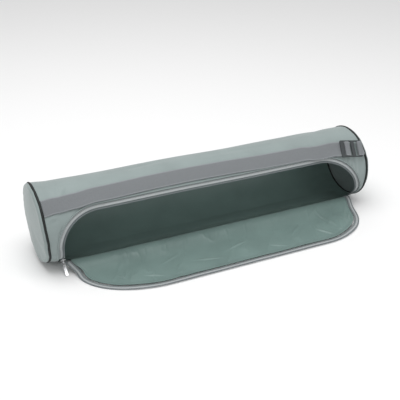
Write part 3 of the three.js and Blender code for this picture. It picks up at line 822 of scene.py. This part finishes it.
def flap_relief(x, out, to_edge):
    """Creases and unevenness of the flap, upwards. They fade where the cloth is sewn."""
    free = smooth(out, 4, 26) * smooth(to_edge, 2, 14)
    soft = field(x + 0.5 * out, out * 0.45, 46, 1.3, 3)
    ridge = 1 - np.abs(np.clip(soft * 2.2, -1, 1))
    broad = field(x, out, 110, 5.9, 2)
    creases = 0
    for at, share, tilt, half_length, half_width, height in CREASES:
        creases = creases + height * fold(x - at, out - share * FLAP_DEPTH, tilt, half_length, half_width)
    return free * (1.1 * ridge**3 + 1.4 * np.maximum(broad, 0) + creases)


FLAP_CUT = inset(FLAP_EDGE, ZIP_INSET + GAP)
HEM_RISE = 1.5  # how far the cloth's edge stands up beside the zip tape
HEM_DRAW = 1.4  # how far, on average, the cloth's edge is drawn back from the tape
FLAP_ROWS = 76


def make_flap():
    """The flap's cloth. Its edge is drawn back unevenly from the tape."""
    way = np.cumsum(np.hypot(*np.gradient(FLAP_CUT, axis=0).T))
    away = smooth(FLAP_CUT[:, 1], 16, 30)
    drawn = away * HEM_DRAW * (1 + 0.9 * field(way, 0 * way, 26, 8.8, 2))
    inwards = FLAP_CUT - inset(FLAP_EDGE, ZIP_INSET + GAP - 1)
    edge = FLAP_CUT + inwards * drawn[:, None]
    shares = 1 - (1 - np.linspace(0, 1, FLAP_ROWS)) ** 1.25
    feet = np.linspace(FLAP_EDGE[0, 0], FLAP_EDGE[-1, 0], len(edge))
    x = feet[:, None] * (1 - shares) + edge[:, 0][:, None] * shares
    out = GAP * (1 - shares) + np.maximum(edge[:, 1], GAP)[:, None] * shares
    to_edge = np.hypot(x - edge[:, 0][:, None], out - edge[:, 1][:, None])
    relief = flap_relief(x, out, to_edge)
    rise = HEM_RISE * away[:, None] * (1 - smooth(to_edge, 2.5, 9))
    outer = flap_point(x, out, CLOTH * 0.6 + relief + rise)
    inner = flap_point(x, out, relief * 0.7 + rise)
    uv = np.stack([x, out], axis=-1) * MM
    obj = shell("flap_cloth", outer, inner, lining, uv)
    return piece(outward(obj), "lining", "flap")


flap_cloth = make_flap()


# Zip

BELOW_CLOTH = -CLOTH - TAPE_DROP
ZIP_START = SLIDER_START + SLIDER_LENGTH + 2 * GAP
COIL_EDGE = TAPE_SHOWN + GAP


def flap_zip_point(x, out, off):
    return flap_point(x, np.maximum(out, SLIDER_START), off)


TOOTH_PITCH = 1.7
TOOTH_ARCH = ((-1, 0), (-0.85, 0.8), (-0.45, 1), (0.45, 1), (0.85, 0.8), (1, 0))  # (across, up)


def make_teeth(name, outline, by, place, low, high, node):
    """The coil's turns, one small arch for each, along an outline."""
    line = inset(outline, by)
    way = np.cumsum(np.hypot(*np.gradient(line, axis=0).T))
    along = np.arange(way[0], way[-1], TOOTH_PITCH)
    centre = np.stack([np.interp(along, way, line[:, i]) for i in (0, 1)], axis=1)
    keep = (centre[:, 0] > 0) | (centre[:, 1] > ZIP_START)
    centre = centre[keep]
    ahead = np.gradient(centre, axis=0)
    ahead /= np.linalg.norm(ahead, axis=1)[:, None]
    side = np.stack([ahead[:, 1], -ahead[:, 0]], axis=1)
    points, faces = [], []
    for ends in (-0.5, 0.5):
        for across, up in TOOTH_ARCH:
            flat = centre + side * across * COIL_WIDTH / 2 + ahead * ends * TOOTH_PITCH * 0.62
            points.append(place(flat[:, 0], np.maximum(flat[:, 1], 0.3), low + (high - low) * up))
    count = len(TOOTH_ARCH)
    points = np.stack(points, axis=1)
    ring = [(i, i + 1, count + i + 1, count + i) for i in range(count - 1)]
    foot = (count - 1, 0, count, 2 * count - 1)
    sides = [tuple(range(count))[::-1], tuple(range(count, 2 * count))]
    one = ring + [foot] + sides
    for k in range(len(centre)):
        faces += [tuple(2 * count * k + i for i in f) for f in one]
    obj = mesh_object(name, points.reshape(-1, 3), faces, coil_plastic)
    obj.data.polygons.foreach_set("use_smooth", [False] * len(obj.data.polygons))
    return piece(outward(obj), "coil", node)


tape_low = BELOW_CLOTH - TAPE
band(
    "opening_tape",
    OPENING,
    -TAPE_TUCKED,
    TAPE_SHOWN,
    front_point,
    tape_low,
    BELOW_CLOTH,
    tape_cloth,
    "tape",
    "zip_tape_tube",
    across=6,
    first=ZIP_START,
)
band(
    "flap_tape",
    FLAP_EDGE,
    COIL_WIDTH + GAP,
    COIL_WIDTH + TAPE_SHOWN,
    flap_zip_point,
    0.1,
    TAPE + 0.4,
    tape_cloth,
    "tape",
    "zip_tape_flap",
    across=6,
    first=ZIP_START,
)
coil_low = BELOW_CLOTH - TAPE / 2 - COIL_HEIGHT / 2
make_teeth(
    "opening_coil",
    OPENING,
    COIL_EDGE + COIL_WIDTH / 2,
    front_point,
    coil_low,
    coil_low + COIL_HEIGHT,
    "zip_coil_tube",
)
make_teeth("flap_coil", FLAP_EDGE, COIL_WIDTH / 2, flap_zip_point, 0.05, COIL_HEIGHT, "zip_coil_flap")


# Strap, end strap and buckle

STRAP_REST = GAP + STRAP_THICKNESS / 2
BUCKLE_LIFT = 2 * LAYER + GAP
BAR_MIDDLE = BUCKLE_LIFT + BUCKLE_THICKNESS / 2
BAR_CLEAR = BUCKLE_THICKNESS / 2 + GAP + STRAP_THICKNESS / 2
BAR_SIDE = BUCKLE_BAR / 2 + GAP + STRAP_THICKNESS / 2


def rounded_line(corners, cut, step):
    """The line through the corners, rounded at each, with its direction: points every `step` at most."""
    corners = np.asarray(corners, float)
    parts = [corners[:1]]
    for before, point, after in zip(corners, corners[1:], corners[2:]):
        lengths = [np.linalg.norm(before - point), np.linalg.norm(after - point)]
        short = min(cut, lengths[0] * 0.49, lengths[1] * 0.49)
        enter = point + (before - point) * short / lengths[0]
        leave = point + (after - point) * short / lengths[1]
        t = np.linspace(0, 1, 9)[:, None]
        parts.append((1 - t) ** 2 * enter + 2 * t * (1 - t) * point + t**2 * leave)
    line = np.concatenate(parts + [corners[-1:]])
    fine = [line[:1]]
    for a, b in zip(line, line[1:]):
        count = max(1, math.ceil(np.linalg.norm(b - a) / step))
        fine.append(a + (b - a) * np.arange(1, count + 1)[:, None] / count)
    line = np.concatenate(fine)
    ahead = np.gradient(line, axis=0)
    return line, ahead / np.linalg.norm(ahead, axis=1)[:, None]


# Where the strap's lower edge stands off the tube: (x in mm, half-length, share of STRAP_LIFT)
STRAP_LIFT = 1.8
STRAP_SLACK = ((-262, 48, 1.0), (BUCKLE_LEFT - 12, 30, 0.8))
WEBBING_RIBS = 14
RIB_HEIGHT = 0.1


def make_webbing(name, corners, width, node, sway=0.0):
    """Ribbed webbing along a side view, the corners of its middle line as (x, high)."""
    line, ahead = rounded_line(corners, 2.0, 2.5)
    across = np.linspace(-width / 2, width / 2, 29)
    way = np.concatenate([[0], np.cumsum(np.linalg.norm(np.diff(line, axis=0), axis=1))])
    ribs = RIB_HEIGHT * np.sin(np.linspace(0, 2 * WEBBING_RIBS * math.pi, len(across)))
    edge = smooth(np.abs(across), width / 2 - 1.6, width / 2)
    half = STRAP_THICKNESS / 2 * (1 - 0.35 * edge)
    drift = sway * field(way, 0 * way, 120, 6.1, 2)
    slack = sum(share * bump(line[:, 0] - at, along) for at, along, share in STRAP_SLACK)
    lifted = (sway > 0) * slack[:, None] * STRAP_LIFT * smooth(-across, 0, width / 2)[None, :]

    def face(side):
        x = line[:, 0][:, None] - ahead[:, 1][:, None] * side * (half + ribs)
        high = line[:, 1][:, None] + ahead[:, 0][:, None] * side * (half + ribs) + lifted
        return strap_point(x, across[None, :] + drift[:, None], high)

    uv = np.stack(np.broadcast_arrays(across[None, :], way[:, None]), axis=-1) * MM
    obj = shell(name, face(1), face(-1), webbing_cloth, uv)
    return piece(outward(obj), "webbing", node)


def make_strap():
    """From the left seam, round the buckle's second bar and back under itself."""
    bar = BUCKLE_LEFT + 1.5 * BUCKLE_BAR + BUCKLE_SLOTS[0]
    corners = [
        (-HALF_LENGTH + PIPING_RADIUS + GAP, STRAP_REST),
        (BUCKLE_LEFT - 1.5 * STRAP_WIDTH, STRAP_REST),
        (BUCKLE_LEFT - STRAP_WIDTH, STRAP_REST + LAYER),
        (bar - BAR_SIDE, STRAP_REST + LAYER),
        (bar - BAR_SIDE, BAR_MIDDLE + BAR_CLEAR),
        (bar + BAR_SIDE, BAR_MIDDLE + BAR_CLEAR),
        (bar + BAR_SIDE, STRAP_REST),
        (BUCKLE_LEFT - 0.8 * STRAP_WIDTH, STRAP_REST),
    ]
    make_webbing("strap_webbing", corners, STRAP_WIDTH, "strap", sway=0.8)


def make_end_strap():
    """From the right seam, round the buckle's last bar and back."""
    bar = BUCKLE_RIGHT - BUCKLE_BAR / 2
    corners = [
        (END_SEAM, STRAP_REST),
        (bar + BAR_SIDE, BAR_MIDDLE - BAR_CLEAR),
        (bar - BAR_SIDE, BAR_MIDDLE - BAR_CLEAR),
        (bar - BAR_SIDE, BAR_MIDDLE + BAR_CLEAR),
        (bar + BAR_SIDE, BAR_MIDDLE + BAR_CLEAR),
        (END_SEAM, STRAP_REST + 1.2 * LAYER),
    ]
    make_webbing("end_webbing", corners, STRAP_WIDTH, "end_strap")


make_strap()
make_end_strap()


def finish_hard_node(name, material, bevel):
    """Keeps a hard CAD node, with softened edges and its own material."""
    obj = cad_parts[name]
    obj.data.materials.clear()
    obj.data.materials.append(material)
    made = obj.modifiers.new("edges", "BEVEL")
    made.width = bevel
    made.segments = 2
    made.limit_method = "ANGLE"
    made.angle_limit = math.radians(40)
    return obj


finish_hard_node("buckle", buckle_plastic, 0.0004)
finish_hard_node("zip_slider", bright_metal, 0.0002)
finish_hard_node("pull_tab", bright_metal, 0.0002)


# Stitching


STITCH_PITCH = 3.2
STITCH_LENGTH = 2.2
STITCH_WIDTH = 0.55
STITCH_INSET = 2.2

# A stitch from end to end: (share of its length, half-width, height), the last two as shares of its width
STITCH_SHAPE = ((-0.5, 0.0, 0.25), (-0.3, 0.5, 0.9), (0.0, 0.5, 1.0), (0.3, 0.5, 0.9), (0.5, 0.0, 0.25))


def stitches(name, centres, ahead, normal):
    """Short rounded stitches: one at each centre, along ahead, standing a little out of the cloth."""
    side = np.cross(normal, ahead) * STITCH_WIDTH
    points = []
    for at, half, up in STITCH_SHAPE:
        for across, lift in ((-half, 0.0), (0.0, 0.55 * up), (half, 0.0)):
            middle = centres + ahead * at * STITCH_LENGTH
            points.append(middle + side * across + normal * lift * STITCH_WIDTH)
    points = np.stack(points, axis=1)
    each = len(STITCH_SHAPE) * 3
    corners = [3 * i + j for i in range(len(STITCH_SHAPE) - 1) for j in range(2)]
    one = [(k, k + 1, k + 4, k + 3) for k in corners]
    faces = [tuple(each * k + i for i in f) for k in range(len(centres)) for f in one]
    return piece(mesh_object(name, points.reshape(-1, 3), faces, thread), "tape")


def stitch_line(name, path, place, off, skip=None):
    """A row of stitches along a path in the cloth, on the surface place(x, up, off)."""
    way = np.concatenate([[0], np.cumsum(np.hypot(*np.diff(path, axis=0).T))])
    along = np.arange(STITCH_PITCH, way[-1] - STITCH_PITCH, STITCH_PITCH)
    if skip is not None:
        x, up = (np.interp(along, way, path[:, i]) for i in (0, 1))
        along = along[~skip(x, up)]

    def at(shift, lift):
        x, up = (np.interp(along + shift, way, path[:, i]) for i in (0, 1))
        return place(x, up, off + lift)

    centres = at(0, 0)
    ahead = at(0.5, 0) - at(-0.5, 0)
    ahead /= np.linalg.norm(ahead, axis=1)[:, None]
    normal = at(0, 0.5) - centres
    normal /= np.linalg.norm(normal, axis=1)[:, None]
    return stitches(name, centres, ahead, normal)


stitch_line("opening_stitches", inset(OPENING, -STITCH_INSET), front_point, 0.5)
stitch_line(
    "opening_tape_stitches",
    inset(OPENING, STITCH_INSET),
    front_point,
    BELOW_CLOTH,
    skip=lambda x, up: up < ZIP_START,
)
stitch_line(
    "flap_hem_stitches",
    inset(FLAP_EDGE, ZIP_INSET + 1),
    flap_zip_point,
    CLOTH * 0.6 + HEM_RISE,
    skip=lambda x, up: up < 30,
)


# Floor, light and camera


# Metres and watts from here on
FLOOR_SIZE = 12
FLOOR_BELOW = 0.0005
CAMERA_PLACE = (-0.5407, -1.1397, 0.7144)
CAMERA_TARGET = (-0.0127, 0.0, 0.0554)
CAMERA_LENS = 63.5  # mm


def plain_material(name, color, roughness):
    n = Nodes(name)
    place = n.new("ShaderNodeTexCoord").outputs["Object"]
    tint = n.ramp(n.noise(place, 3, 2), (0.0, shade(color, 0.995)), (1.0, color))
    return n.finish(tint, None, None, Roughness=roughness)


def make_floor():
    bpy.ops.mesh.primitive_plane_add(size=FLOOR_SIZE, location=(0, 0, -FLOOR_BELOW))
    floor = bpy.context.object
    floor.name = "floor"
    floor.data.materials.append(plain_material("pale_floor", (0.9, 0.9, 0.9), 0.9))


def add_light(name, size, power, place, target=(0, 0, 0.05)):
    light = bpy.data.lights.new(name, "AREA")
    light.shape = "RECTANGLE"
    light.size, light.size_y = size
    light.energy = power
    obj = bpy.data.objects.new(name, light)
    obj.location = place
    obj.rotation_euler = (Vector(target) - Vector(place)).to_track_quat("-Z", "Y").to_euler()
    bpy.context.scene.collection.objects.link(obj)


def make_world(strength):
    world = bpy.data.worlds.new("studio")
    world.use_nodes = True
    background = world.node_tree.nodes["Background"]
    background.inputs["Color"].default_value = (1, 1, 1, 1)
    background.inputs["Strength"].default_value = strength
    bpy.context.scene.world = world


def make_camera(place, target, lens):
    camera = bpy.data.objects.new("camera", bpy.data.cameras.new("camera"))
    camera.data.lens = lens
    camera.data.sensor_width = 36
    camera.location = place
    camera.rotation_euler = (Vector(target) - Vector(place)).to_track_quat("-Z", "Y").to_euler()
    bpy.context.scene.collection.objects.link(camera)
    bpy.context.scene.camera = camera


make_floor()
make_world(0.68)
add_light("key", (1.8, 1.2), 26, (-0.3, -0.1, 2.1))
add_light("fill", (1.6, 1.6), 4, (1.4, -1.2, 0.9))
make_camera(CAMERA_PLACE, CAMERA_TARGET, CAMERA_LENS)
bpy.context.scene.view_settings.view_transform = "Standard"
